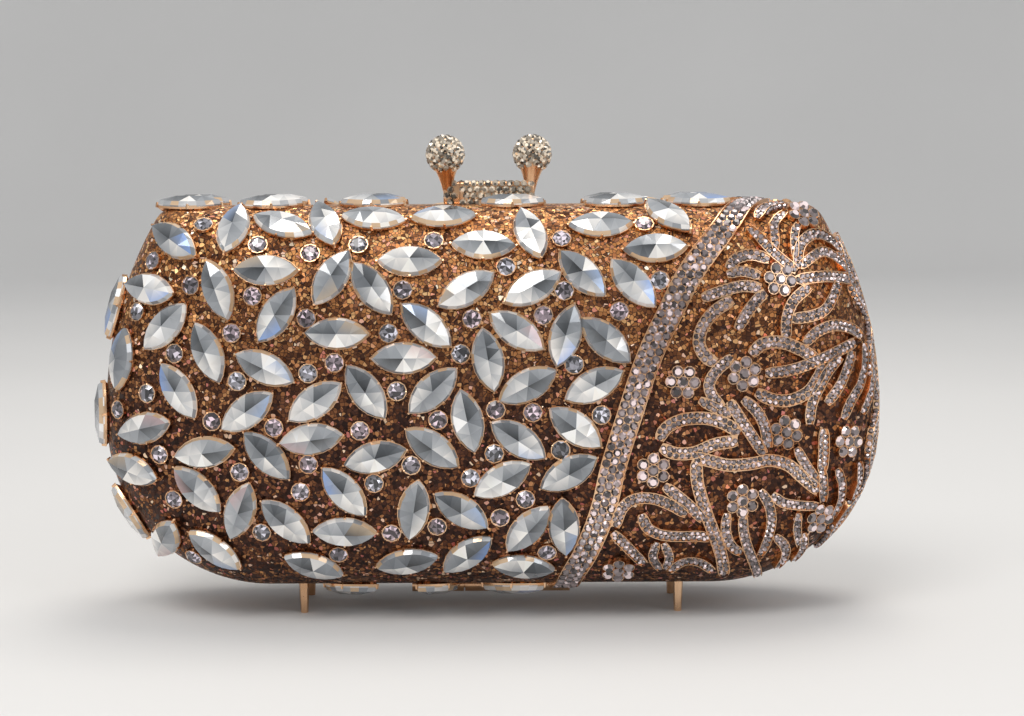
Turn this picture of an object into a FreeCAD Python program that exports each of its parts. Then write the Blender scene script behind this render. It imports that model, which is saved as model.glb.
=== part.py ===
import FreeCAD, Part
import math
import os

# Crystal-set hard evening case. Millimetres, X to the right, front face towards -Y, Z up,
# origin on the table midway between the feet. The two halves meet at Y = 0.

# Rim outline, seen from the front
half_width = 86.0
top_height = 91.0
bottom_height = 6.2
side_centre_height = 44.5
side_radius = 85.0
top_corner_radius = 6.0
bottom_corner_radius = 36.0

# Swell of each half
half_depth = 26.5
dome_centre_height = 47.0
dome_power = 2.8
outer_section_shares = (1.0, 0.985, 0.95, 0.89, 0.8, 0.68, 0.52, 0.34)
inner_section_shares = (1.0, 0.94, 0.79, 0.5)
arc_steps = (2, 4, 7)

# Layers of each half
shell_wall = 1.2
lining_clearance = 0.25
lining_thickness = 0.7

# Rim frames and the dust lip that laps inside the back frame
rim_width = 2.4
split_gap = 0.3
back_frame_band = 2.3
lip_clearance = 0.3
lip_thickness = 0.9
lip_reach = 1.6
lip_low_rise = 27.8

# Hinge under the rim
hinge_length = 36.0
knuckle_length = 11.8
knuckle_radius = 1.6
knuckle_clearance = 0.3
leaf_thickness = 1.0
pin_radius = 0.8
pin_clearance = 0.05

# Kiss-lock clasp
clasp_bar_root = 10.2
clasp_bar_nose = 6.6
clasp_bar_depth = 2.2
clasp_bar_height = 5.0
stem_foot_radius = 1.3
stem_neck_radius = 2.5
stem_sink = 1.8
ball_radius = 4.5
ball_offset = 9.7
ball_rise = 11.0
stem_sides = 8
ball_sides = 12
ball_rows = 6

# Feet
foot_place_share = 0.488
foot_spread = 9.0
foot_tip_radius = 0.85
foot_top_radius = 1.25
foot_length = 9.0
foot_sides = 8

# Lugs for a carrying chain, inside the front frame
lug_drop = 19.0
lug_thickness = 1.6
lug_half_height = 3.4
lug_reach = 6.4
lug_eye_inset = 3.2
lug_eye_radius = 1.4
lug_clearance = 0.3

# Marquise stones in their settings
stone_length = 14.0
stone_width = 6.6
stone_height = 2.0
setting_height = 1.0
setting_rim = 0.3
seat_clearance = 0.04
table_share = 0.5
shoulder_along_share = 0.56
shoulder_across_share = 0.74

# Round stones
chaton_diameter = 3.8
chaton_height = 2.0
chaton_sides = 6

# Paved band, leaf ribs and flower clusters of the openwork end
band_width = 5.6
band_height = 1.3
band_sink = 1.6
rib_width = 2.2
rib_height = 1.3
rib_clearance = 0.2
rib_span = 5.5
rib_tip_share = 0.6
flower_diameter = 6.4
flower_height = 1.8
flower_notch_share = 0.76
flower_petals = 6

# Places on the front half: share of the rim's half width at that height, share of the rim's
# height from its bottom, and the tilt of the long axis in degrees.
marquise_shares = (
    (-0.886, 0.914, -32), (-0.733, 0.942, 82), (-0.906, 0.792, -12), (-0.717, 0.794, -69),
    (-0.600, 0.842, -1), (-0.836, 0.699, 43), (-0.714, 0.636, -67), (-0.942, 0.611, 82),
    (-0.782, 0.537, -56), (-0.564, 0.599, -25), (-0.549, 0.732, 56), (-0.594, 0.949, -30),
    (-0.872, 0.438, 13), (-0.717, 0.382, 9), (-0.917, 0.328, -8), (-0.755, 0.285, -43),
    (-0.660, 0.231, 69), (-0.925, 0.146, 54), (-0.799, 0.124, -39), (-0.605, 0.488, 35),
    (-0.559, 0.376, -46), (-0.547, 0.205, -43), (-0.473, 0.952, -78), (-0.420, 0.823, 60),
    (-0.337, 0.963, -10), (-0.309, 0.796, -55), (-0.216, 0.862, 0), (-0.133, 0.966, 8),
    (-0.061, 0.792, 32), (-0.016, 0.900, -3), (-0.162, 0.705, -41), (-0.387, 0.686, -1),
    (-0.216, 0.624, 0), (-0.308, 0.539, -55), (-0.142, 0.542, 43), (-0.435, 0.514, 35),
    (-0.004, 0.618, -80), (-0.445, 0.419, 8), (-0.287, 0.373, 14), (-0.144, 0.397, -36),
    (-0.056, 0.465, -78), (-0.374, 0.285, -49), (-0.397, 0.180, -2), (-0.201, 0.237, 81),
    (-0.077, 0.235, -35), (-0.539, 0.087, -30), (-0.251, 0.097, 14), (-0.068, 0.117, 45),
    (0.030, 0.315, 30), (0.070, 0.416, -34), (0.117, 0.927, -76), (0.321, 0.946, 2),
    (0.524, 0.967, -66), (0.113, 0.796, 29), (0.248, 0.830, -48), (0.380, 0.806, -50),
    (0.459, 0.890, 3), (0.069, 0.690, -34), (0.192, 0.678, 74), (0.294, 0.666, -43),
    (0.094, 0.554, 28), (0.259, 0.553, 26), (0.212, 0.446, -37), (0.197, 0.331, 29),
    (0.101, 0.186, 51), (0.198, 0.190, -86), (0.100, 0.081, -10),
)

# Marquise stones that run over the top edge, round the left end and under the belly: the same
# two shares, then the share of the swell's depth, and the tilt from the rim's own direction.
rim_marquise_shares = (
    (-0.962, 1.0, 0.20, 0), (-0.700, 1.0, 0.20, 6), (-0.375, 1.0, 0.18, 0),
    (0.075, 1.0, 0.19, 0), (0.412, 1.0, 0.20, 4), (0.675, 1.0, 0.20, -6),
    (-1.0, 0.74, 0.22, 12), (-1.0, 0.46, 0.22, 0), (-1.0, 0.20, 0.24, -8),
    (-0.637, 0.0, 0.26, 30), (-0.241, 0.0, 0.26, -50), (0.103, 0.0, 0.26, 10),
)

chaton_shares = (
    (-0.825, 0.952), (-0.644, 0.903), (-0.926, 0.863), (-0.794, 0.804), (-0.620, 0.779),
    (-0.924, 0.733), (-0.800, 0.632), (-0.658, 0.686), (-0.632, 0.565), (-0.864, 0.528),
    (-0.944, 0.480), (-0.694, 0.462), (-0.836, 0.372), (-0.633, 0.333), (-0.829, 0.256),
    (-0.626, 0.176), (-0.896, 0.098), (-0.538, 0.448), (-0.492, 0.882), (-0.364, 0.902),
    (-0.155, 0.911), (-0.228, 0.792), (-0.470, 0.724), (-0.257, 0.686), (-0.045, 0.720),
    (-0.389, 0.613), (-0.454, 0.586), (-0.073, 0.634), (-0.231, 0.541), (-0.323, 0.441),
    (-0.129, 0.468), (-0.456, 0.355), (-0.198, 0.353), (-0.295, 0.307), (-0.486, 0.284),
    (-0.050, 0.320), (-0.144, 0.193), (-0.271, 0.176), (-0.443, 0.117), (0.025, 0.216),
    (0.045, 0.847), (0.203, 0.914), (0.452, 0.812), (0.196, 0.788), (0.334, 0.737),
    (0.138, 0.728), (0.211, 0.606), (0.446, 0.948), (0.014, 0.493), (0.106, 0.486),
    (0.276, 0.478), (0.175, 0.390), (0.010, 0.382), (0.090, 0.264), (0.163, 0.120),
)

band_path_shares = (
    (0.862, 1.0, 0.10), (0.752, 0.985, None), (0.660, 0.929, None), (0.543, 0.835, None),
    (0.460, 0.729, None), (0.393, 0.611, None), (0.347, 0.481, None), (0.309, 0.351, None),
    (0.294, 0.233, None), (0.275, 0.127, None), (0.264, 0.050, None), (0.310, 0.0, 0.14),
)

# Leaf ribs: a share of the full width, then the two shares of the start, middle and end
rib_shares = (
    (1.0, (0.643, 0.850), (0.696, 0.873), (0.741, 0.868)),
    (0.9, (0.645, 0.822), (0.683, 0.833), (0.718, 0.822)),
    (1.0, (0.556, 0.767), (0.630, 0.790), (0.706, 0.791)),
    (1.0, (0.614, 0.750), (0.566, 0.724), (0.533, 0.677)),
    (1.0, (0.530, 0.667), (0.529, 0.639), (0.552, 0.616)),
    (1.0, (0.629, 0.689), (0.659, 0.726), (0.697, 0.762)),
    (1.0, (0.754, 0.675), (0.772, 0.732), (0.826, 0.778)),
    (1.0, (0.796, 0.710), (0.855, 0.724), (0.916, 0.776)),
    (1.0, (0.819, 0.811), (0.898, 0.816), (0.971, 0.800)),
    (1.0, (0.838, 0.863), (0.863, 0.900), (0.911, 0.920)),
    (1.0, (0.920, 0.920), (0.958, 0.907), (0.976, 0.875)),
    (0.9, (0.867, 0.858), (0.927, 0.873), (0.966, 0.835)),
    (0.9, (0.753, 0.941), (0.785, 0.901), (0.812, 0.868)),
    (0.9, (0.785, 0.962), (0.832, 0.979), (0.888, 0.987)),
    (0.8, (0.813, 0.922), (0.830, 0.946), (0.856, 0.960)),
    (1.0, (0.662, 0.632), (0.729, 0.656), (0.796, 0.625)),
    (1.0, (0.692, 0.579), (0.799, 0.594), (0.921, 0.638)),
    (1.0, (0.815, 0.656), (0.878, 0.690), (0.939, 0.673)),
    (1.0, (0.669, 0.528), (0.715, 0.508), (0.760, 0.513)),
    (1.0, (0.768, 0.517), (0.806, 0.544), (0.823, 0.575)),
    (1.0, (0.816, 0.448), (0.832, 0.509), (0.876, 0.590)),
    (1.0, (0.864, 0.502), (0.893, 0.552), (0.916, 0.608)),
    (1.0, (0.891, 0.455), (0.928, 0.528), (0.955, 0.630)),
    (1.0, (0.944, 0.465), (0.968, 0.533), (0.985, 0.630)),
    (1.0, (0.596, 0.616), (0.557, 0.571), (0.564, 0.521)),
    (1.0, (0.414, 0.429), (0.447, 0.458), (0.502, 0.471)),
    (1.0, (0.509, 0.471), (0.563, 0.460), (0.609, 0.434)),
    (1.0, (0.438, 0.390), (0.518, 0.384), (0.617, 0.409)),
    (0.9, (0.522, 0.515), (0.552, 0.499), (0.579, 0.487)),
    (1.0, (0.594, 0.508), (0.623, 0.458), (0.664, 0.396)),
    (1.0, (0.628, 0.513), (0.664, 0.474), (0.680, 0.427)),
    (1.0, (0.545, 0.355), (0.598, 0.344), (0.656, 0.349)),
    (1.0, (0.664, 0.350), (0.738, 0.348), (0.823, 0.290)),
    (0.9, (0.779, 0.382), (0.803, 0.354), (0.817, 0.333)),
    (1.0, (0.841, 0.429), (0.847, 0.375), (0.853, 0.321)),
    (0.9, (0.856, 0.309), (0.869, 0.276), (0.878, 0.243)),
    (0.9, (0.888, 0.323), (0.918, 0.276), (0.926, 0.231)),
    (0.9, (0.946, 0.337), (0.962, 0.288), (0.965, 0.238)),
    (1.0, (0.510, 0.354), (0.523, 0.304), (0.550, 0.252)),
    (1.0, (0.556, 0.243), (0.596, 0.189), (0.651, 0.130)),
    (0.9, (0.662, 0.120), (0.707, 0.085), (0.758, 0.054)),
    (1.0, (0.452, 0.290), (0.493, 0.263), (0.528, 0.237)),
    (1.0, (0.348, 0.196), (0.352, 0.243), (0.387, 0.264)),
    (1.0, (0.395, 0.265), (0.428, 0.262), (0.462, 0.250)),
    (1.0, (0.399, 0.224), (0.422, 0.191), (0.463, 0.173)),
    (1.0, (0.473, 0.171), (0.528, 0.165), (0.581, 0.166)),
    (1.0, (0.344, 0.167), (0.387, 0.138), (0.437, 0.106)),
    (0.8, (0.468, 0.144), (0.476, 0.111), (0.518, 0.078)),
    (0.8, (0.503, 0.142), (0.535, 0.108), (0.550, 0.078)),
    (0.9, (0.593, 0.073), (0.615, 0.094), (0.687, 0.071)),
    (0.9, (0.675, 0.205), (0.713, 0.146), (0.864, 0.054)),
    (0.9, (0.627, 0.212), (0.648, 0.170), (0.687, 0.134)),
    (0.9, (0.700, 0.278), (0.732, 0.241), (0.759, 0.196)),
    (0.9, (0.763, 0.188), (0.784, 0.149), (0.798, 0.113)),
    (0.9, (0.743, 0.265), (0.790, 0.245), (0.837, 0.237)),
    (0.9, (0.808, 0.156), (0.861, 0.123), (0.911, 0.071)),
    (0.8, (0.827, 0.205), (0.854, 0.165), (0.904, 0.125)),
)

# Leaf ribs round the right-hand end, each place with the share of the swell's depth
end_rib_shares = (
    (1.0, (1.0, 0.917, 0.20), (1.0, 0.823, 0.12), (1.0, 0.723, 0.20)),
    (1.0, (1.0, 0.688, 0.10), (1.0, 0.587, 0.20), (1.0, 0.487, 0.10)),
    (1.0, (1.0, 0.458, 0.20), (1.0, 0.375, 0.10), (1.0, 0.292, 0.20)),
    (1.0, (1.0, 0.263, 0.10), (1.0, 0.175, 0.20), (1.0, 0.098, 0.12)),
)

flower_shares = (
    (0.773, 0.812), (0.636, 0.577), (0.480, 0.559), (0.409, 0.336), (0.907, 0.392),
    (0.740, 0.425), (0.655, 0.252), (0.403, 0.067), (0.920, 0.968), (0.899, 0.193),
)

origin = FreeCAD.Vector(0, 0, 0)
across = FreeCAD.Vector(0, 1, 0)
upward = FreeCAD.Vector(0, 0, 1)
sideways = FreeCAD.Vector(1, 0, 0)
hinge_height = bottom_height - knuckle_radius - knuckle_clearance
front_frame_band = back_frame_band + lip_clearance + lip_thickness
ball_height = top_height + ball_rise


def rim_corners(offset):
    """Centre, radius and end angles of the right-hand arcs of the rim, moved out by offset."""
    side_x = half_width - side_radius
    top_z = top_height - top_corner_radius
    bottom_z = bottom_height + bottom_corner_radius
    top_rise = top_z - side_centre_height
    bottom_rise = bottom_z - side_centre_height
    top_run = math.sqrt((side_radius - top_corner_radius) ** 2 - top_rise ** 2)
    bottom_run = math.sqrt((side_radius - bottom_corner_radius) ** 2 - bottom_rise ** 2)
    top_angle = math.atan2(top_rise, top_run)
    bottom_angle = math.atan2(bottom_rise, bottom_run)
    return (
        (side_x + top_run, top_z, top_corner_radius + offset, math.pi / 2, top_angle),
        (side_x, side_centre_height, side_radius + offset, top_angle, bottom_angle),
        (side_x + bottom_run, bottom_z, bottom_corner_radius + offset, bottom_angle, -math.pi / 2),
    )


def rim_points(offset, share, y):
    """Rim outline moved out by offset, then drawn in by share about the dome's centre."""
    right = []
    for (x, z, radius, start, end), steps in zip(rim_corners(offset), arc_steps):
        for step in range(1 if right else 0, steps + 1):
            angle = start + (end - start) * step / steps
            right.append((x + radius * math.cos(angle), z + radius * math.sin(angle)))
    left = [(-x, z) for x, z in reversed(right)]
    points = []
    for x, z in right + left:
        points.append(FreeCAD.Vector(x * share, y, dome_centre_height + (z - dome_centre_height) * share))
    return points


def dome_y(offset, share):
    swell = half_depth + offset - rim_width
    return -rim_width - swell * (1 - share ** dome_power) ** (1 / dome_power)


def dome_rings(offset, shares):
    """Outlines of the swell, from the rim frame forwards."""
    return [rim_points(offset, share, dome_y(offset, share)) for share in shares]


def facet(points):
    return Part.Face(Part.makePolygon(points + points[:1]))


def closed(faces):
    solid = Part.Solid(Part.Shell(faces))
    if solid.Volume < 0:
        solid.reverse()
    return solid


def wall(rings):
    """Flat facets between each ring and the next, whose sides are parallel."""
    facets = []
    for low, high in zip(rings, rings[1:]):
        for index in range(len(low)):
            after = (index + 1) % len(low)
            facets.append(facet([low[index], low[after], high[after], high[index]]))
    return facets


def stack(rings):
    return closed(wall(rings) + [facet(rings[0]), facet(rings[-1])])


def hollow(outer, inner):
    """Open shell between two sets of rings that start in one plane."""
    edge = facet(outer[0]).cut(facet(inner[0])).Faces
    return closed(wall(outer) + wall(inner) + edge + [facet(outer[-1]), facet(inner[-1])])


def rim_prism(offset, near_y, far_y):
    return facet(rim_points(offset, 1, near_y)).extrude(across * (far_y - near_y))


def box(low, high):
    size = high - low
    return Part.makeBox(size.x, size.y, size.z, low)


def prism(points, height):
    return facet(points).extrude(upward * height)


def to_back(shape):
    return shape.mirror(origin, across)


def rim_reach(z):
    """Half width of the rim at a height."""
    for x, centre_z, radius, start, end in rim_corners(0):
        if z > centre_z + radius * math.sin(end):
            break
    return x + math.sqrt(max(radius ** 2 - (z - centre_z) ** 2, 0))


def rim_hit(way_x, way_z):
    """Distance from the dome's centre to the rim along a unit direction, and the rim's normal there."""
    for x, z, radius, start, end in rim_corners(0):
        rise = z - dome_centre_height
        along = x * abs(way_x) + rise * way_z
        root = max(along ** 2 - x ** 2 - rise ** 2 + radius ** 2, 0)
        reach = along + math.sqrt(root)
        angle = math.atan2(reach * way_z - rise, reach * abs(way_x) - x)
        if end <= angle <= start:
            return reach, (math.copysign(math.cos(angle), way_x), math.sin(angle))
    level = top_height if way_z > 0 else bottom_height
    return (level - dome_centre_height) / way_z, (0, math.copysign(1, way_z))


def seat(x_share, z_share, depth_share=None):
    """Point on the dome and its outward normal, found from the front or, with a depth, from the rim."""
    z = bottom_height + (top_height - bottom_height) * z_share
    x = rim_reach(z) * x_share
    rise = z - dome_centre_height
    run = math.hypot(x, rise)
    way_x, way_z = x / run, rise / run
    reach, (rim_x, rim_z) = rim_hit(way_x, way_z)
    share = run / reach
    if depth_share is not None:
        share = (1 - depth_share ** dome_power) ** (1 / dome_power)
    point = FreeCAD.Vector(way_x, 0, way_z) * (reach * share)
    point.y = dome_y(0, share)
    point.z += dome_centre_height
    slope = (half_depth - rim_width) * share ** (dome_power - 1)
    slope *= (1 - share ** dome_power) ** (1 / dome_power - 1)
    lean = slope / (reach * (way_x * rim_x + way_z * rim_z))
    return point, FreeCAD.Vector(lean * rim_x, -1, lean * rim_z).normalize()


def flat_on(normal, way):
    flat = way - normal * way.dot(normal)
    return flat.normalize()


def front_way(normal, tilt):
    angle = math.radians(tilt)
    return flat_on(normal, sideways * math.cos(angle) + upward * math.sin(angle))


def rim_way(normal, tilt):
    angle = math.radians(tilt)
    level = flat_on(normal, across.cross(normal))
    return level * math.cos(angle) + normal.cross(level) * math.sin(angle)


def front_seats(shares):
    seats = []
    for x_share, z_share, tilt in shares:
        point, normal = seat(x_share, z_share)
        seats.append((point, normal, front_way(normal, tilt)))
    return seats


def rim_seats(shares):
    seats = []
    for x_share, z_share, depth_share, tilt in shares:
        point, normal = seat(x_share, z_share, depth_share)
        seats.append((point, normal, rim_way(normal, tilt)))
    return seats


def placed(shape, point, normal, along):
    """Copy of a shape set on a seat: its Z along the normal and its X along the given way."""
    copy = shape.copy()
    turn = FreeCAD.Rotation(along, normal.cross(along), normal, "ZXY")
    copy.Placement = FreeCAD.Placement(point + normal * seat_clearance, turn)
    return copy


def set_all(shape, seats):
    return Part.makeCompound([placed(shape, *spot) for spot in seats])


def ring_points(diameter, count, height):
    points = []
    for step in range(count):
        angle = 2 * math.pi * step / count
        way = FreeCAD.Vector(math.cos(angle), math.sin(angle), 0)
        points.append(way * (diameter / 2) + upward * height)
    return points


def crown(girdle, table):
    """Cut stone: three crown facets from the girdle to each side of the table."""
    facets = [facet(girdle), facet(table)]
    for side in range(len(table)):
        first, second, third = (girdle[(2 * side + step) % len(girdle)] for step in range(3))
        near = table[side]
        far = table[(side + 1) % len(table)]
        facets += [facet([first, second, near]), facet([second, far, near]), facet([second, third, far])]
    return closed(facets)


def corners(length, width, height):
    half = length / 2
    side = width / 2
    return [FreeCAD.Vector(x, y, height) for x, y in ((half, 0), (0, side), (-half, 0), (0, -side))]


def pointed_oval(length, width, height):
    """Two tips, the two widest points and four shoulders between them."""
    points = []
    ends = corners(length, width, height)
    for near, far in zip(ends, ends[1:] + ends[:1]):
        x = near.x + far.x
        y = near.y + far.y
        points += [near, FreeCAD.Vector(x * shoulder_along_share, y * shoulder_across_share, height)]
    return points


def marquise_stone():
    girdle = pointed_oval(stone_length, stone_width, setting_height)
    top = setting_height + stone_height
    return crown(girdle, corners(stone_length * table_share, stone_width * table_share, top))


def marquise_setting():
    """Four-cornered cup base, whose corners stand just past the stone's tips and sides."""
    return prism(corners(stone_length + 2 * setting_rim, stone_width + 2 * setting_rim, 0), setting_height)


def risen(girdle, height):
    """Stone or cluster whose facets rise from its girdle to a point."""
    tip = upward * height
    facets = [facet([near, far, tip]) for near, far in zip(girdle, girdle[1:] + girdle[:1])]
    return closed(facets + [facet(girdle)])


def chaton_stone():
    return risen(ring_points(chaton_diameter, chaton_sides, 0), chaton_height)


def flower():
    """Cluster of six petals."""
    tips = ring_points(flower_diameter, 2 * flower_petals, 0)
    notches = ring_points(flower_diameter * flower_notch_share, 2 * flower_petals, 0)
    return risen([(tips, notches)[step % 2][step] for step in range(2 * flower_petals)], flower_height)


def strip_rings(seats, widths, height, sink):
    """Four-cornered sections square to the line through the seats."""
    rings = []
    for index, (point, normal) in enumerate(seats):
        before = seats[max(index - 1, 0)][0]
        after = seats[min(index + 1, len(seats) - 1)][0]
        reach = normal.cross(flat_on(normal, after - before)) * (widths[index] / 2)
        foot = point - normal * sink
        head = point + normal * height
        rings.append([foot - reach, foot + reach, head + reach, head - reach])
    return rings


def strip(rings):
    """Solid through four-cornered sections, in three-cornered facets."""
    facets = []
    for left_foot, right_foot, right, left in (rings[0], rings[-1]):
        facets += [facet([left_foot, right_foot, right]), facet([left_foot, right, left])]
    for low, high in zip(rings, rings[1:]):
        for side in range(len(low)):
            after = (side + 1) % len(low)
            facets.append(facet([low[side], low[after], high[after]]))
            facets.append(facet([low[side], high[after], high[side]]))
    return closed(facets)


def pave_band(body):
    """Strip laid over the dome from rim to rim, its underside trimmed to the dome."""
    seats = [seat(*place) for place in band_path_shares]
    return strip(strip_rings(seats, [band_width] * len(seats), band_height, band_sink)).cut(body)


def rib_seats(start, middle, end):
    """Seats at even steps of the curve through three places."""
    ends = [seat(*place)[0] for place in (start, middle, end)]
    length = ends[0].distanceToPoint(ends[1]) + ends[1].distanceToPoint(ends[2])
    steps = max(2, round(length / rib_span))
    seats = []
    for step in range(steps + 1):
        part = step / steps
        pulls = ((1 - part) * (1 - 2 * part), 4 * part * (1 - part), part * (2 * part - 1))
        seats.append(seat(*[sum(p * s for p, s in zip(pulls, shares)) for shares in zip(start, middle, end)]))
    return seats


def leaf_rib(seats, width, body):
    """Rib that narrows to both tips, standing on the flat facets of the dome and trimmed to their edges."""
    tip = width * rib_tip_share
    widths = [tip] + [width] * (len(seats) - 2) + [tip]
    rings = []
    for (point, normal), ring in zip(seats, strip_rings(seats, widths, rib_height, 0)):
        right, left = ring[2:]
        feet = [Part.Vertex(head).distToShape(body)[1][0][1] for head in (left, right)]
        rings.append([foot + normal * rib_clearance for foot in feet] + [right, left])
    return strip(rings).cut(body)


def leaf_loops(body):
    """Ribs that draw the leaves and stems."""
    ribs = []
    for width_share, *places in rib_shares + end_rib_shares:
        ribs.append(leaf_rib(rib_seats(*places), rib_width * width_share, body))
    return Part.makeCompound(ribs)


def rim_ring(offset, band, near_y, far_y):
    return rim_prism(offset, near_y, far_y).cut(rim_prism(offset - band, near_y, far_y))


def front_frame():
    """Front rim frame with a dust lip along its top and ends."""
    frame = rim_ring(0, front_frame_band, -rim_width, -split_gap / 2)
    lip = rim_ring(-back_frame_band - lip_clearance, lip_thickness, -split_gap / 2, lip_reach)
    low = FreeCAD.Vector(-half_width, -rim_width, bottom_height)
    lip = lip.cut(box(low, FreeCAD.Vector(half_width, rim_width, bottom_height + lip_low_rise)))
    return frame.fuse(lip).removeSplitter()


def knuckle_spans():
    """Start and length of the knuckles: the front leaf's two, then the back leaf's one."""
    middle = hinge_length - 2 * knuckle_length - 2 * knuckle_clearance
    end = hinge_length / 2
    return [(-end, knuckle_length), (end - knuckle_length, knuckle_length)], [(-middle / 2, middle)]


def rod(start_x, length, radius):
    return Part.makeCylinder(radius, length, FreeCAD.Vector(start_x, 0, hinge_height), sideways)


def hinge_leaf(near_y, far_y, own_spans, other_spans):
    """Leaf under a rim frame with its knuckles, relieved round the other leaf's knuckles."""
    end = hinge_length / 2
    low = FreeCAD.Vector(-end, near_y, bottom_height - leaf_thickness)
    leaf = box(low, FreeCAD.Vector(end, far_y, bottom_height))
    for start, length in other_spans:
        room = length + 2 * knuckle_clearance
        leaf = leaf.cut(rod(start - knuckle_clearance, room, knuckle_radius + knuckle_clearance))
    for start, length in own_spans:
        leaf = leaf.fuse(rod(start, length, knuckle_radius))
    return leaf.cut(rod(-end, hinge_length, pin_radius + pin_clearance)).removeSplitter()


def clasp_stem():
    """Neck that flares from inside the bar's root up into the ball."""
    middle_y = -split_gap / 2 - clasp_bar_depth / 2
    foot = FreeCAD.Vector(clasp_bar_root - stem_foot_radius, middle_y, top_height + clasp_bar_height / 2)
    way = FreeCAD.Vector(ball_offset, 0, ball_height) - foot
    top = ring_points(2 * stem_neck_radius, stem_sides, way.Length - ball_radius + stem_sink)
    stem = stack([ring_points(2 * stem_foot_radius, stem_sides, 0), top])
    stem.Placement = FreeCAD.Placement(foot, FreeCAD.Rotation(upward, way))
    return stem


def clasp_arm():
    low = FreeCAD.Vector(-clasp_bar_nose, -split_gap / 2 - clasp_bar_depth, top_height)
    high = FreeCAD.Vector(clasp_bar_root, -split_gap / 2, top_height + clasp_bar_height)
    return box(low, high).fuse(clasp_stem()).removeSplitter()


def clasp_ball():
    """Ball in flat-sided rows, as its rows of stones make it, bored for the stem."""
    rings = []
    for row in range(ball_rows + 1):
        angle = math.pi * (row + 0.5) / (ball_rows + 1)
        width = 2 * ball_radius * math.sin(angle)
        rings.append(ring_points(width, ball_sides, -ball_radius * math.cos(angle)))
    ball = stack(rings)
    ball.translate(FreeCAD.Vector(ball_offset, 0, ball_height))
    return ball.cut(clasp_stem())


def half_turn(shape):
    turned = shape.copy()
    turned.rotate(origin, upward, 180)
    return turned


def feet(body):
    """Tapered pegs standing on the table, their tops trimmed to the dome."""
    pegs = []
    for x in (-half_width * foot_place_share, half_width * foot_place_share):
        top = ring_points(2 * foot_top_radius, foot_sides, foot_length)
        peg = stack([ring_points(2 * foot_tip_radius, foot_sides, 0), top])
        peg.translate(FreeCAD.Vector(x, -foot_spread, 0))
        pegs.append(peg.cut(body))
    return Part.makeCompound(pegs)


def chain_lugs():
    """Eyed lugs on the inner ledge of the front frame, trimmed to the lining's hollow."""
    lug_height = top_height - lug_drop
    side_x, side_z, radius = rim_corners(-front_frame_band)[1][:3]
    ledge_x = side_x + math.sqrt(radius ** 2 - (lug_height - side_z) ** 2)
    near_y = -rim_width - lug_thickness
    low = FreeCAD.Vector(ledge_x - lug_reach, near_y, lug_height - lug_half_height)
    high = FreeCAD.Vector(ledge_x + lug_reach, -rim_width, lug_height + lug_half_height)
    eye = FreeCAD.Vector(ledge_x - lug_eye_inset, near_y, lug_height)
    inset = shell_wall + lining_clearance + lining_thickness + lug_clearance
    lug = box(low, high).common(stack(dome_rings(-inset, inner_section_shares)))
    lug = lug.cut(Part.makeCylinder(lug_eye_radius, lug_thickness, eye, across))
    return Part.makeCompound([lug, lug.mirror(origin, sideways)])


def build():
    body = stack(dome_rings(0, outer_section_shares))
    lining_offset = -shell_wall - lining_clearance
    inner = dome_rings(-shell_wall, inner_section_shares)
    lining_outer = dome_rings(lining_offset, inner_section_shares)
    lining_inner = dome_rings(lining_offset - lining_thickness, inner_section_shares)
    marquises = front_seats(marquise_shares) + rim_seats(rim_marquise_shares)
    half = {
        "case_shell": hollow(dome_rings(0, outer_section_shares), inner),
        "lining": hollow(lining_outer, lining_inner),
        "marquise_settings": set_all(marquise_setting(), marquises),
        "marquise_stones": set_all(marquise_stone(), marquises),
        "chaton_stones": set_all(chaton_stone(), front_seats([(x, z, 0) for x, z in chaton_shares])),
        "pave_band": pave_band(body),
        "leaf_loops": leaf_loops(body),
        "flower_clusters": set_all(flower(), front_seats([(x, z, 0) for x, z in flower_shares])),
        "feet": feet(body),
    }
    front_spans, back_spans = knuckle_spans()
    nodes = {}
    for name, shape in half.items():
        nodes["front_" + name] = shape
        nodes["back_" + name] = to_back(shape)
    nodes["front_rim_frame"] = front_frame()
    nodes["back_rim_frame"] = rim_ring(0, back_frame_band, split_gap / 2, rim_width)
    nodes["front_hinge_leaf"] = hinge_leaf(-rim_width, -split_gap / 2, front_spans, back_spans)
    nodes["back_hinge_leaf"] = hinge_leaf(split_gap / 2, rim_width, back_spans, front_spans)
    nodes["hinge_pin"] = rod(-hinge_length / 2, hinge_length, pin_radius)
    nodes["front_clasp_arm"] = clasp_arm()
    nodes["front_clasp_ball"] = clasp_ball()
    nodes["back_clasp_arm"] = half_turn(clasp_arm())
    nodes["back_clasp_ball"] = half_turn(clasp_ball())
    nodes["chain_lugs"] = chain_lugs()
    return nodes


os.makedirs("parts", exist_ok=True)
for node, shape in build().items():
    shape.exportStep("parts/" + node + ".step")
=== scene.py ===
import bpy
import bmesh
import math
import random
import numpy as np
from mathutils import Matrix, Vector
from mathutils.bvhtree import BVHTree
from mathutils.geometry import interpolate_bezier


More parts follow.
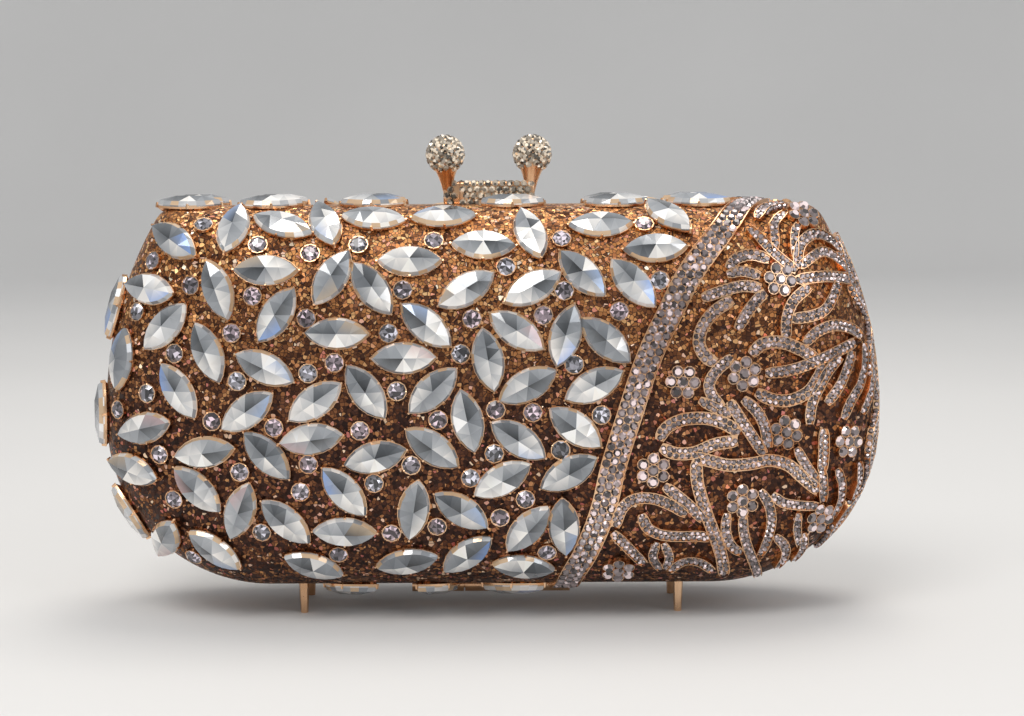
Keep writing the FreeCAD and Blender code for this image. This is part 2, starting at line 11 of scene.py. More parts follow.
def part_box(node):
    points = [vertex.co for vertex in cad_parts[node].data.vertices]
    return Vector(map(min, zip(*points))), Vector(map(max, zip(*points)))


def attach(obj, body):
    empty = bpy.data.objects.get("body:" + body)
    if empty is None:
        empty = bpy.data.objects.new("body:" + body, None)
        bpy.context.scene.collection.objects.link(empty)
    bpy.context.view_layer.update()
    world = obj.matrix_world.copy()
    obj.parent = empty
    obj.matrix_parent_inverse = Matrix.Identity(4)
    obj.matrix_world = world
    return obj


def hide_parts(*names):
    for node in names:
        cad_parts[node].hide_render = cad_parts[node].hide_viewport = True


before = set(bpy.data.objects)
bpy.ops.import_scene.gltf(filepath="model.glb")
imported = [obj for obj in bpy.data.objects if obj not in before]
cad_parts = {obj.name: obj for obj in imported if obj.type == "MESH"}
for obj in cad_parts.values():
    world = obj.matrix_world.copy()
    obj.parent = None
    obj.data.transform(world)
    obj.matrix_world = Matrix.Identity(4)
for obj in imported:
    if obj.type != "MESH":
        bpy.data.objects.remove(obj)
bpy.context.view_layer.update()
mm = 0.001
scene = bpy.context.scene
scene.view_settings.view_transform = "Standard"
sides = {"front": -1, "back": 1}  # which way each half swells along Y
seeds = {"stones": 4, "band": 11, "ribs": 17, "flowers": 23, "clasp": 31}  # for the facets' tones


# shader sockets that can be used in Python sums
class Val:
    def __init__(self, finish, socket):
        self.finish = finish
        self.socket = socket

    def sum(self, operation, other):
        return self.finish.node("ShaderNodeMath", {"operation": operation}, {0: self, 1: other})

    def __add__(self, other):
        return self.sum("ADD", other)

    def __mul__(self, other):
        return self.sum("MULTIPLY", other)

    def __gt__(self, other):
        return self.sum("GREATER_THAN", other)

    __radd__ = __add__
    __rmul__ = __mul__


class Finish:
    def __init__(self, name, constants):
        self.material = bpy.data.materials.new(name)
        self.material.use_nodes = True
        self.tree = self.material.node_tree
        self.shader = self.tree.nodes["Principled BSDF"]
        for socket, value in constants.items():
            self.shader.inputs[socket].default_value = value

    def node(self, kind, settings, inputs, out=0):
        made = self.tree.nodes.new(kind)
        for key, value in settings.items():
            if key == "stops":
                self.setStops(made.color_ramp, value)
            else:
                setattr(made, key, value)
        for key, value in inputs.items():
            self.put(made.inputs[key], value)
        return Val(self, made.outputs[out])

    def setStops(self, ramp, stops):
        while len(ramp.elements) < len(stops):
            ramp.elements.new(1.0)
        for element, (place, colour) in zip(ramp.elements, stops):
            element.position = place
            element.color = (*colour, 1.0)

    def put(self, socket, value):
        if isinstance(value, Val):
            self.tree.links.new(value.socket, socket)
        else:
            socket.default_value = value

    def feed(self, **values):
        for name, value in values.items():
            self.put(self.shader.inputs[name.replace("_", " ")], value)

    def place(self):
        return self.node("ShaderNodeTexCoord", {}, {}, "Object")

    def noise(self, scale, detail):
        inputs = {"Vector": self.place(), "Scale": scale, "Detail": detail}
        return self.node("ShaderNodeTexNoise", {}, inputs)

    def ramp(self, value, stops):
        return self.node("ShaderNodeValToRGB", {"stops": stops}, {0: value})

    def blend(self, factor, low, high):
        return self.node("ShaderNodeMix", {"data_type": "RGBA"}, {0: factor, 6: low, 7: high}, 2)

    def vector(self, operation, inputs):
        return self.node("ShaderNodeVectorMath", {"operation": operation}, inputs)

    def bump(self, height, distance, strength):
        inputs = {"Height": height, "Distance": distance, "Strength": strength}
        return self.node("ShaderNodeBump", {}, inputs)


goldTones = {
    "tones": ((0.3, (0.58, 0.30, 0.15)), (0.62, (0.88, 0.58, 0.36))), "wave": (70.0, 2.0),
    "grain": (900.0, 4.0), "roughness": (0.14, 0.2), "bump": (0.02 * mm, 0.5),
}


def roseGold():
    g = goldTones
    gold = Finish("roseGold", {"Metallic": 1.0})
    grain = gold.noise(*g["grain"])
    gold.feed(
        Base_Color=gold.ramp(gold.noise(*g["wave"]), g["tones"]),
        Roughness=g["roughness"][0] + g["roughness"][1] * grain,
        Normal=gold.bump(grain, *g["bump"]),
    )
    return gold.material


# loose flakes in dark glue; they turn from copper brown to orange towards the top edge: the orange top
# is painted light from above, the darker brown below is painted shade
glitterTones = {
    "flakeScale": 1250.0, "gap": 0.07, "metal": 0.6, "roughness": (0.22, 0.34),
    "tilt": 0.75, "level": (0.5, 0.5, 0.5),  # flakes lean by their random colour, about its middle
    "rise": (46.0 * mm, 92.0 * mm), "glue": (0.030, 0.010, 0.006, 1.0),
    "shadedLowFlakes": (
        (0.0, (0.016, 0.006, 0.004)), (0.3, (0.046, 0.015, 0.008)), (0.58, (0.12, 0.040, 0.016)),
        (0.8, (0.29, 0.115, 0.042)), (0.9, (0.54, 0.26, 0.10)), (0.95, (0.52, 0.15, 0.13)),
        (1.0, (0.98, 0.75, 0.52)),
    ),
    "litHighFlakes": (
        (0.0, (0.12, 0.038, 0.012)), (0.3, (0.34, 0.122, 0.036)), (0.58, (0.60, 0.25, 0.074)),
        (0.8, (0.88, 0.44, 0.155)), (0.9, (0.96, 0.66, 0.32)), (0.95, (0.90, 0.36, 0.22)),
        (1.0, (1.0, 0.92, 0.72)),
    ),
}


def glitter():
    g = glitterTones
    coat = Finish("glitterGround", {"Metallic": g["metal"]})
    cell = {"Vector": coat.place(), "Scale": g["flakeScale"], "Randomness": 1.0}
    flake = coat.node("ShaderNodeTexVoronoi", {"feature": "F1"}, cell, "Color")
    edge = coat.node("ShaderNodeTexVoronoi", {"feature": "DISTANCE_TO_EDGE"}, cell, "Distance")
    pick = coat.node("ShaderNodeSeparateColor", {}, {0: flake}, "Red")
    shine = coat.node("ShaderNodeSeparateColor", {}, {0: flake}, "Green")
    height = coat.node("ShaderNodeSeparateXYZ", {}, {0: coat.place()}, "Z")
    rise = {"Value": height, "From Min": g["rise"][0], "From Max": g["rise"][1]}
    high = coat.node("ShaderNodeMapRange", {}, rise)
    # painted light and shade: flakes take the lit colours higher up and the shaded colours lower down
    colour = coat.blend(high, coat.ramp(pick, g["shadedLowFlakes"]), coat.ramp(pick, g["litHighFlakes"]))
    spread = coat.vector("SUBTRACT", {0: flake, 1: g["level"]})
    lean = coat.vector("SCALE", {0: spread, "Scale": g["tilt"]})
    upright = coat.node("ShaderNodeNewGeometry", {}, {}, "Normal")
    coat.feed(
        Base_Color=coat.blend(edge > g["gap"], g["glue"], colour),
        Roughness=g["roughness"][0] + g["roughness"][1] * shine,
        Normal=coat.vector("NORMALIZE", {0: coat.vector("ADD", {0: upright, 1: lean})}),
    )
    return coat.material


# cut stones carry the painted flash of each facet, its painted light, shade and reflection, in a colour
# attribute
clearGlass = {"Metallic": 0.25, "Roughness": 0.08, "Coat Weight": 0.8, "Coat Roughness": 0.02}
lilacGlass = {"Metallic": 0.3, "Roughness": 0.1, "Coat Weight": 0.8, "Coat Roughness": 0.03}


def crystal(name, constants):
    stone = Finish(name, constants)
    stone.feed(Base_Color=stone.node("ShaderNodeVertexColor", {"layer_name": "flash"}, {}))
    return stone.material


satinTones = {
    "tones": ((0.2, (0.44, 0.22, 0.155)), (0.8, (0.54, 0.30, 0.22))), "soft": (18.0, 1.0),
    "weave": {"Scale": 900.0, "Distortion": 1.5, "Detail": 2.0}, "bump": (0.04 * mm, 0.6),
}


def satin():
    s = satinTones
    cloth = Finish("satinLining", {"Roughness": 0.45, "Sheen Weight": 0.5})
    threads = {"Vector": cloth.place(), **s["weave"]}
    weave = cloth.node("ShaderNodeTexWave", {"bands_direction": "DIAGONAL"}, threads, "Fac")
    cloth.feed(
        Base_Color=cloth.ramp(cloth.noise(*s["soft"]), s["tones"]),
        Normal=cloth.bump(weave, *s["bump"]),
    )
    return cloth.material


goldFinish = roseGold()
glitterFinish = glitter()
clearFinish = crystal("clearCrystal", clearGlass)
lilacFinish = crystal("lilacCrystal", lilacGlass)
satinFinish = satin()
print("materials ready")


# degrees past which an edge stays sharp; 0 smooths all edges, None leaves flat facets
crease = {"tray": 40, "metal": 35, "ball": 0}


def finished(name, bm, finish, body, node=None, smooth=None):
    mesh = bpy.data.meshes.new(name)
    bm.to_mesh(mesh)
    bm.free()
    mesh.materials.append(finish)
    piece = bpy.data.objects.new(name, mesh)
    scene.collection.objects.link(piece)
    if smooth is not None:
        mesh.shade_smooth()
        if smooth:
            mesh.set_sharp_from_angle(angle=math.radians(smooth))
    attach(piece, body)
    if node:
        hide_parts(*node)


def goldPiece(name, bm, body, node=None, smooth=crease["metal"]):
    finished(name, bm, goldFinish, body, node, smooth)


mergeGap = 0.01 * mm  # in new shapes
weldGap = 0.001 * mm  # in the frame's loose triangles


def vertsOf(geom):
    return [g for g in geom if isinstance(g, bmesh.types.BMVert)]


def edgesOf(geom):
    return [g for g in geom if isinstance(g, bmesh.types.BMEdge)]


def growLoop(bm, loop):
    grown = bmesh.ops.extrude_edge_only(bm, edges=loop)["geom"]
    verts = vertsOf(grown)
    fresh = set(verts)
    return verts, [edge for edge in edgesOf(grown) if fresh.issuperset(edge.verts)]


faceOrder = Vector((1.0, 2.6, 200.0))  # from the foot up, with no two faces level


# operators leave another order in each run; tones and seats follow this one
def sortFaces(bm):
    bm.faces.sort(key=lambda face: face.calc_center_median().dot(faceOrder))


def roundOff(bm, edges, offset, segments):
    bmesh.ops.bevel(
        bm, geom=edges, offset=offset, affect="EDGES", segments=segments, profile=0.5, material=-1,
    )


# rim outline and swell of a half
shellLow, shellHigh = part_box("front_case_shell")
domeShape = {
    "halfWidth": shellHigh.x, "top": shellHigh.z, "bottom": shellLow.z, "rim": -shellHigh.y,
    "depth": 26.5 * mm, "centre": 47.0 * mm, "power": 2.8, "sideCentre": 44.5 * mm,
    "sideRadius": 85.0 * mm, "topCorner": 6.0 * mm, "bottomCorner": 36.0 * mm,
    "arcSteps": (8, 22, 30), "straightCuts": 15, "rings": 26, "crowding": 0.8,
}


# three arcs spun on the right, mirrored, then joined along the top and the bottom
def rimLoop(bm, inset, y):
    d = domeShape
    sideX = d["halfWidth"] - d["sideRadius"]
    topZ = d["top"] - d["topCorner"]
    bottomZ = d["bottom"] + d["bottomCorner"]
    topRun = math.sqrt((d["sideRadius"] - d["topCorner"]) ** 2 - (topZ - d["sideCentre"]) ** 2)
    bottomRun = math.sqrt((d["sideRadius"] - d["bottomCorner"]) ** 2 - (bottomZ - d["sideCentre"]) ** 2)
    high = math.atan2(topZ - d["sideCentre"], topRun)
    low = math.atan2(bottomZ - d["sideCentre"], bottomRun)
    arcs = (
        (sideX + topRun, topZ, math.pi / 2 - high),
        (sideX, d["sideCentre"], high - low),
        (sideX + bottomRun, bottomZ, low + math.pi / 2),
    )
    first = bm.verts.new((sideX + topRun, y, d["top"] - inset))
    last = [first]
    for (x, z, turn), steps in zip(arcs, d["arcSteps"]):
        spun = bmesh.ops.spin(bm, geom=last, cent=(x, y, z), axis=(0, 1, 0), angle=turn, steps=steps)
        last = vertsOf(spun["geom_last"])
    bm.verts.ensure_lookup_table()
    start = list(bm.verts).index(first)
    made = bm.verts[start:]
    edges = list(dict.fromkeys(e for v in made for e in v.link_edges))
    copy = bmesh.ops.duplicate(bm, geom=made + edges)
    twin = copy["vert_map"]
    bmesh.ops.scale(bm, vec=(-1, 1, 1), verts=vertsOf(copy["geom"]))
    edges += edgesOf(copy["geom"])
    joins = [bm.edges.new((first, twin[first])), bm.edges.new((last[0], twin[last[0]]))]
    cut = bmesh.ops.subdivide_edges(bm, edges=joins, cuts=d["straightCuts"])
    edges += edgesOf(cut["geom_split"])
    return list(dict.fromkeys(edges))


def domeDepth(share, inset):
    d = domeShape
    swell = d["depth"] - inset - d["rim"]
    return d["rim"] + swell * (1 - share ** d["power"]) ** (1 / d["power"])


def dome(side, inset):
    d = domeShape
    bm = bmesh.new()
    loop = rimLoop(bm, inset, side * d["rim"])
    middle = Matrix.Translation((0, 0, -d["centre"]))
    share = 1.0
    for ring in range(1, d["rings"]):
        smaller = math.cos(0.5 * math.pi * ring / d["rings"]) ** d["crowding"]
        verts, loop = growLoop(bm, loop)
        bmesh.ops.scale(bm, vec=(smaller / share, 1, smaller / share), space=middle, verts=verts)
        ahead = side * (domeDepth(smaller, inset) - domeDepth(share, inset))
        bmesh.ops.translate(bm, vec=(0, ahead, 0), verts=verts)
        share = smaller
    bmesh.ops.pointmerge(bm, verts=verts, merge_co=(0, side * (d["depth"] - inset), d["centre"]))
    bmesh.ops.recalc_face_normals(bm, faces=bm.faces)
    if sum(f.normal.y * f.calc_area() for f in bm.faces) * side < 0:  # an open tray can turn inside out
        bmesh.ops.reverse_faces(bm, faces=bm.faces)
    sortFaces(bm)
    return bm


# inset from the outside, and thickness
shellWalls = {"shell": (0.0, 1.2 * mm), "lining": (1.45 * mm, 0.7 * mm)}
ground = {}  # the outside of each half, to set pieces on
for half, side in sides.items():
    body = half + "_half"
    bm = dome(side, shellWalls["shell"][0])
    ground[half] = BVHTree.FromBMesh(bm)
    bmesh.ops.solidify(bm, geom=bm.faces[:], thickness=shellWalls["shell"][1])
    shell = [half + "_case_shell"]
    finished(half + "Shell", bm, glitterFinish, body, shell, crease["tray"])
    bm = dome(side, shellWalls["lining"][0])
    bmesh.ops.solidify(bm, geom=bm.faces[:], thickness=shellWalls["lining"][1])
    lining = [half + "_lining"]
    finished(half + "Lining", bm, satinFinish, body, lining, crease["tray"])
print("shells and linings made")


# places of the set pieces, read back from the frame
def looseParts(node):
    bm = bmesh.new()
    bm.from_mesh(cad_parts[node].data)
    bmesh.ops.remove_doubles(bm, verts=bm.verts, dist=weldGap)
    parts = []
    seen = set()
    for start in bm.verts:
        if start in seen:
            continue
        group = [start]
        seen.add(start)
        for vert in group:
            for edge in vert.link_edges:
                other = edge.other_vert(vert)
                if other not in seen:
                    seen.add(other)
                    group.append(other)
        parts.append(np.array([v.co for v in group]))
    bm.free()
    return parts


# a seat has X along the piece and Z out of the swell, with its origin at the foot
def seatOf(points):
    middle = points.mean(0)
    axes = np.linalg.eigh(np.cov((points - middle).T))[1]
    normal, along = axes[:, 0], axes[:, 2]
    if normal @ (middle - np.array((0, 0, domeShape["centre"]))) < 0:
        normal = -normal
    seat = Matrix((along, np.cross(normal, along), normal)).transposed().to_4x4()
    seat.translation = Vector(middle + normal * ((points - middle) @ normal).min())
    return seat


def seatsOf(node):
    return [seatOf(part) for part in looseParts(node)]


# many copies of one small template, as one mesh
def strew(bm, template, seats, paint=None, dice=None):
    flash = bm.loops.layers.float_color.get("flash") or bm.loops.layers.float_color.new("flash")
    count = len(bm.faces)
    for seat in seats:
        copy = template.copy()
        copy.transform(seat)
        bm.from_mesh(copy)
        bpy.data.meshes.remove(copy)
        bm.faces.ensure_lookup_table()
        if paint:
            paint(bm.faces[count:], flash, dice, seat)
        count = len(bm.faces)


def asTemplate(bm, name):
    bmesh.ops.recalc_face_normals(bm, faces=bm.faces)
    sortFaces(bm)
    mesh = bpy.data.meshes.new(name)
    bm.to_mesh(mesh)
    bm.free()
    return mesh


def marquiseLoop(bm, halfLength, halfWidth, steps):
    radius = (halfLength ** 2 + halfWidth ** 2) / (2 * halfWidth)
    turn = 2 * math.asin(halfLength / radius)
    tip = bm.verts.new((halfLength, 0, 0))
    for way in (1, -1):
        centre = (0, way * (halfWidth - radius), 0)
        bmesh.ops.spin(bm, geom=[tip], cent=centre, axis=(0, 0, way), angle=turn, steps=steps)
    bmesh.ops.remove_doubles(bm, verts=bm.verts, dist=mergeGap)
    return bm.edges[:]


def raiseLoop(bm, loop, scale, rise):
    verts, edges = growLoop(bm, loop)
    bmesh.ops.scale(bm, vec=(*scale, 1), verts=verts)
    bmesh.ops.translate(bm, vec=(0, 0, rise), verts=verts)
    return edges


# pointed oval stone: girdle, a narrow crown, and long facets that meet along a keel
marquise = {
    "halfLength": 7.1 * mm, "halfWidth": 3.4 * mm, "steps": 8, "low": 0.2 * mm, "girdle": 0.55 * mm,
    "crown": ((0.92, 0.87), 0.9 * mm), "keel": ((0.5, 0.0), 0.85 * mm), "keelEnd": 0.4,
    "cupRim": 0.14 * mm, "cupHeight": 0.45 * mm, "cupLip": (0.95, 0.9), "cupFoot": (0.84, 0.72),
    "cupDepth": 0.9 * mm, "clawFoot": 0.45 * mm, "clawTip": 0.26 * mm, "clawHeight": 1.1 * mm,
    "clawSides": 5,
}


def marquiseStone():
    m = marquise
    bm = bmesh.new()
    loop = marquiseLoop(bm, m["halfLength"], m["halfWidth"], m["steps"])
    bmesh.ops.contextual_create(bm, geom=loop)
    crown = raiseLoop(bm, raiseLoop(bm, loop, (1, 1), m["girdle"]), *m["crown"])
    facets = raiseLoop(bm, crown, *m["keel"])
    ridge = dict.fromkeys(v for e in facets for v in e.verts)
    keelEnds = {end: [v for v in ridge if v.co.x * end > mergeGap] for end in (1, -1)}
    for end, verts in keelEnds.items():
        spot = (end * m["keelEnd"] * m["halfLength"], 0, verts[0].co.z)
        bmesh.ops.pointmerge(bm, verts=verts, merge_co=spot)
    bmesh.ops.remove_doubles(bm, verts=bm.verts, dist=mergeGap)
    crownTop = m["girdle"] + m["crown"][1]
    sloped = [f for f in bm.faces if len(f.verts) == 4 and max(v.co.z for v in f.verts) > crownTop]
    bmesh.ops.triangulate(bm, faces=sloped)
    bmesh.ops.translate(bm, vec=(0, 0, m["low"]), verts=bm.verts)
    return asTemplate(bm, "marquiseStone")


def marquiseCup():
    m = marquise
    bm = bmesh.new()
    loop = marquiseLoop(bm, m["halfLength"] + m["cupRim"], m["halfWidth"] + m["cupRim"], m["steps"])
    bmesh.ops.contextual_create(bm, geom=raiseLoop(bm, loop, m["cupFoot"], -m["cupDepth"]))
    wall = raiseLoop(bm, loop, (1, 1), m["cupHeight"])
    bmesh.ops.contextual_create(bm, geom=raiseLoop(bm, wall, m["cupLip"], 0))
    for x, y in ((1, 0), (-1, 0), (0, 1), (0, -1)):
        spot = Matrix.Translation((x * m["halfLength"], y * m["halfWidth"], m["clawHeight"] / 2))
        bmesh.ops.create_cone(
            bm, cap_ends=True, segments=m["clawSides"], radius1=m["clawFoot"], radius2=m["clawTip"],
            depth=m["clawHeight"], matrix=spot,
        )
    return asTemplate(bm, "marquiseCup")


# small round stone in a cup with four beads
chaton = {
    "radius": 2.0 * mm, "sides": 8, "low": 0.5 * mm, "girdle": 0.2 * mm, "crown": 0.65 * mm,
    "table": 0.56, "cupRadius": 2.14 * mm, "cupSides": 12, "cupHeight": 0.7 * mm,
    "cupLip": (0.91, 0.91), "bead": 0.26 * mm, "beads": 4,
}


def roundStone(radius, sides, low, girdle, crown, table):
    bm = bmesh.new()
    floor = Matrix.Translation((0, 0, low))
    bmesh.ops.create_circle(bm, segments=sides, radius=radius, cap_ends=True, matrix=floor)
    loop = raiseLoop(bm, bm.edges[:], (1, 1), girdle)
    bmesh.ops.contextual_create(bm, geom=raiseLoop(bm, loop, (table, table), crown))
    return bm


def chatonStone():
    c = chaton
    bm = roundStone(c["radius"], c["sides"], c["low"], c["girdle"], c["crown"], c["table"])
    girdle = c["low"] + c["girdle"]
    bmesh.ops.poke(bm, faces=[f for f in bm.faces if f.calc_center_median().z > girdle])
    return asTemplate(bm, "chatonStone")


def roundCup(radius, sides, height, lip):
    bm = bmesh.new()
    bmesh.ops.create_circle(bm, segments=sides, radius=radius, cap_ends=True)
    wall = raiseLoop(bm, bm.edges[:], (1, 1), height)
    bmesh.ops.contextual_create(bm, geom=raiseLoop(bm, wall, lip, 0))
    return bm


def chatonCup():
    c = chaton
    bm = roundCup(c["cupRadius"], c["cupSides"], c["cupHeight"], c["cupLip"])
    for step in range(c["beads"]):
        turn = Matrix.Rotation(2 * math.pi * (step + 0.5) / c["beads"], 4, "Z")
        spot = turn @ Matrix.Translation((c["cupRadius"] * c["cupLip"][0], 0, c["cupHeight"]))
        bmesh.ops.create_icosphere(bm, subdivisions=1, radius=c["bead"], matrix=spot)
    return asTemplate(bm, "chatonCup")


# sides, then girdle, crown and table as shares of the stone's radius
pave = {"low": (7, 0.12, 0.5, 0.56), "high": (7, 0.35, 0.55, 0.5)}


def paveStone(radius, cut="low"):
    sides, girdle, crown, table = pave[cut]
    stone = roundStone(radius, sides, 0, girdle * radius, crown * radius, table)
    return asTemplate(stone, "paveStone")


# painted light and shade of the facets: each part of a stone has one tone at the keel and one at the
# edge
clearTones = {
    "grey": (0.2, 0.4), "white": (0.85, 1.05),
    # times the grey
    "dark": (0.05, 0.22), "soft": (0.65, 1.05), "light": (1.15, 1.75), "bevel": (0.9, 3.0),
    "jitter": (0.8, 1.22), "middle": 0.14, "fade": 1.8, "lying": 0.45, "upSpread": 0.25,
    "shade": Vector((0.88, 1.0, 1.15)), "shine": Vector((1.05, 1.0, 0.94)),
    # painted coloured glints on one part of some stones
    "glintAccents": (  # half of the stones have none
        (0.22, 0.38, 0.78), (0.34, 0.46, 0.70), (0.55, 0.43, 0.30), (0.58, 0.40, 0.40),
        None, None, None, None,
    ),
    # setting: painted reflection of the gold setting on the bevel
    "setting": Vector((0.70, 0.50, 0.32)), "settingGlintOdds": 0.3, "whiteOdds": 0.75,
    # painted highlight: a white bow across the middle of some stones
    "highlightBowOdds": {True: 0.7, False: 0.12},  # white across the middle, for stones that lie or stand
}


# keel and edge tones of the upper, middle and lower part on each side of the keel: painted shade
# towards the upper end and painted light towards the lower end
def stoneLightAndShade(lying, dice):
    c = clearTones
    grey = dice.uniform(*c["grey"])
    darkSide = dice.choice((1, -1))
    tones = {"bevel": grey}
    for side in (1, -1):
        white = dice.uniform(*c["white"])
        dark, soft, light = (grey * dice.uniform(*c[key]) for key in ("dark", "soft", "light"))
        upper = (dark, soft) if side == darkSide else (soft, light)
        lower = (light, white) if side == darkSide else (white, light)
        if dice.random() > c["whiteOdds"]:
            lower = (soft, light)
        bow = dice.random() < c["highlightBowOdds"][lying]
        tones["upper", side] = upper
        tones["middle", side] = (white, white) if bow else [(a + b) / 2 for a, b in zip(upper, lower)]
        tones["lower", side] = lower
    return tones


# blue in the shade, cream in the light
def glass(tone):
    return clearTones["shade"].lerp(clearTones["shine"], min(1.0, tone)) * tone


def paintClear(faces, flash, dice, seat):
    c = clearTones
    m = marquise
    back = seat.inverted()
    # the end of the stone that points up in the world takes the painted shade, the end that points down
    # takes the painted light
    climb = seat[2][0]
    up = 1 if climb > dice.uniform(-c["upSpread"], c["upSpread"]) else -1
    tones = stoneLightAndShade(abs(climb) < c["lying"], dice)
    accent = dice.choice(c["glintAccents"])
    accentPart = (dice.choice(("upper", "lower")), dice.choice((1, -1)))
    for face in faces:
        middle = back @ face.calc_center_median()
        along = up * middle.x / m["halfLength"]
        level = "upper" if along > c["middle"] else "lower" if along < -c["middle"] else "middle"
        part = (level, 1 if middle.y > 0 else -1)
        keel, edge = (glass(tone * dice.uniform(*c["jitter"])) for tone in tones[part])
        # the bevel round the girdle takes painted rim glints, and on some stones the painted reflection
        # of the gold setting
        if middle.z < m["low"] + m["girdle"] + m["crown"][1]:
            edge = glass(tones["bevel"] * dice.uniform(*c["bevel"]))
            if dice.random() < c["settingGlintOdds"]:
                edge = c["setting"]
            keel = edge
        elif accent and part == accentPart:
            edge = Vector(accent)
        for corner in face.loops:
            spot = back @ corner.vert.co
            reach = math.hypot(spot.x / m["halfLength"], spot.y / m["halfWidth"])
            tone = keel.lerp(edge, min(1.0, reach ** c["fade"]))
            corner[flash] = (*(min(1.0, share) for share in tone), 1.0)


# small stones have one grey for each, with painted glints on some white facets and painted shade on
# some dark ones
paveTones = {
    "tints": (Vector((1.09, 0.90, 0.91)),), "base": (0.14, 0.36), "spread": (0.7, 1.35),
    "white": 0.92, "whiteOdds": 0.16, "dark": 0.22, "darkOdds": 0.2,
}
lilacTones = {
    **paveTones, "base": (0.15, 0.31), "darkOdds": 0.38,
    "tints": (Vector((1.0, 0.9, 1.03)), Vector((1.06, 0.85, 0.97)), Vector((0.94, 0.93, 1.06))),
}
ballTones = {
    **paveTones, "tints": (Vector((1.14, 0.98, 0.78)),), "base": (0.2, 0.48), "whiteOdds": 0.24,
}


def paintPave(faces, flash, dice, seat, tones=paveTones):
    base = dice.uniform(*tones["base"])
    tint = dice.choice(tones["tints"])
    for face in faces:
        roll = dice.random()
        if roll < tones["whiteOdds"]:
            grey = tones["white"]
        elif roll < tones["whiteOdds"] + tones["darkOdds"]:
            grey = base * tones["dark"]
        else:
            grey = base * dice.uniform(*tones["spread"])
        for corner in face.loops:
            corner[flash] = (*(tint * grey), 1.0)


def paintLilac(faces, flash, dice, seat):
    paintPave(faces, flash, dice, seat, lilacTones)


def paintBall(faces, flash, dice, seat):
    paintPave(faces, flash, dice, seat, ballTones)


marquiseGem, marquiseSeat = marquiseStone(), marquiseCup()
roundGem, roundSeat = chatonStone(), chatonCup()
for half in sides:
    body = half + "_half"
    dice = random.Random(seeds["stones"])
    seats = seatsOf(half + "_marquise_settings")
    bm = bmesh.new()
    strew(bm, marquiseGem, seats, paintClear, dice)
    stones = [half + "_marquise_stones"]
    finished(half + "MarquiseStones", bm, clearFinish, body, stones)
    bm = bmesh.new()
    strew(bm, marquiseSeat, seats)
    goldPiece(half + "MarquiseCups", bm, body, [half + "_marquise_settings"])
    seats = seatsOf(half + "_chaton_stones")
    bm = bmesh.new()
    strew(bm, roundGem, seats, paintLilac, dice)
    stones = [half + "_chaton_stones"]
    finished(half + "RoundStones", bm, lilacFinish, body, stones)
    bm = bmesh.new()
    strew(bm, roundSeat, seats)
    goldPiece(half + "RoundCups", bm, body)
print("stones set")


# routes that lie on the swell; a place is (x, z) in mm seen from the front,
# or (x, depth, z) round an edge
route = {"handle": 6, "cuts": 16}  # handles of a sixth lead smoothly through every place


def spotOn(half, place):
    side = sides[half]
    if len(place) == 3:
        x, depth, z = place
        return ground[half].find_nearest(Vector((x, side * depth, z)) * mm)[0]
    x, z = place
    ahead = Vector((x * mm, side * 2 * domeShape["depth"], z * mm))
    return ground[half].ray_cast(ahead, Vector((0, -side, 0)))[0]


def routeOn(half, places):
    spots = [spotOn(half, place) for place in places]
    last = len(spots) - 1
    line = []
    for i in range(last):
        start, stop = spots[i], spots[i + 1]
        lead = (stop - spots[max(i - 1, 0)]) / route["handle"]
        tail = (spots[min(i + 2, last)] - start) / route["handle"]
        line += interpolate_bezier(start, start + lead, stop - tail, stop, route["cuts"])[:-1]
    return line + [spots[-1]]


def seatsAlong(half, line, step):
    gaps = [(b - a).length for a, b in zip(line, line[1:])]
    ends = np.concatenate(([0.0], np.cumsum(gaps)))
    count = max(2, 2 * round(ends[-1] / step / 2))  # even, so that every second seat ends with the line
    spots = []
    for want in np.linspace(0, ends[-1], count + 1):
        i = min(int(np.searchsorted(ends, want, "right")) - 1, len(gaps) - 1)
        spots.append(line[i].lerp(line[i + 1], (want - ends[i]) / gaps[i]))
    seats = []
    for k, spot in enumerate(spots):
        spot, normal = ground[half].find_nearest(spot)[:2]
        across = normal.cross(spots[min(k + 1, count)] - spots[max(k - 1, 0)]).normalized()
        seat = Matrix((across.cross(normal), across, normal)).transposed().to_4x4()
        seat.translation = spot
        seats.append(seat)
    return seats


def sweep(bm, seats, profile, widths):
    stops = [seat @ Matrix.Diagonal((1, width, 1, 1)) for seat, width in zip(seats, widths)]
    corners = [bm.verts.new(stops[0] @ Vector((0, y, z))) for y, z in profile]
    loop = [bm.edges.new((corners[i - 1], corners[i])) for i in range(len(corners))]
    bmesh.ops.contextual_create(bm, geom=loop)
    for before, after in zip(stops, stops[1:]):
        verts, loop = growLoop(bm, loop)
        bmesh.ops.transform(bm, matrix=after @ before.inverted(), verts=verts)
    bmesh.ops.contextual_create(bm, geom=loop)
    bmesh.ops.recalc_face_normals(bm, faces=bm.faces)


# bed between two rails that lean out a little at the foot
def railProfile(shape):
    half, rail, low = shape["width"] / 2, shape["rail"], -shape["sink"]
    bed, top = shape["bed"], shape["bed"] + shape["railRise"]
    right = [(half + shape["lean"], low), (half, top), (half - rail, top), (half - rail, bed)]
    return right + [(-y, z) for y, z in reversed(right)]


def joinInto(bm, part):
    mesh = bpy.data.meshes.new("part")
    part.to_mesh(mesh)
    part.free()
    bm.from_mesh(mesh)
    bpy.data.meshes.remove(mesh)


def gemRows(seats, shape, rows):
    spots = []
    for row, shift in rows:
        for seat in seats[shift:len(seats) - shift:2]:
            spots.append(seat @ Matrix.Translation((0, row, shape["bed"])))
    return spots


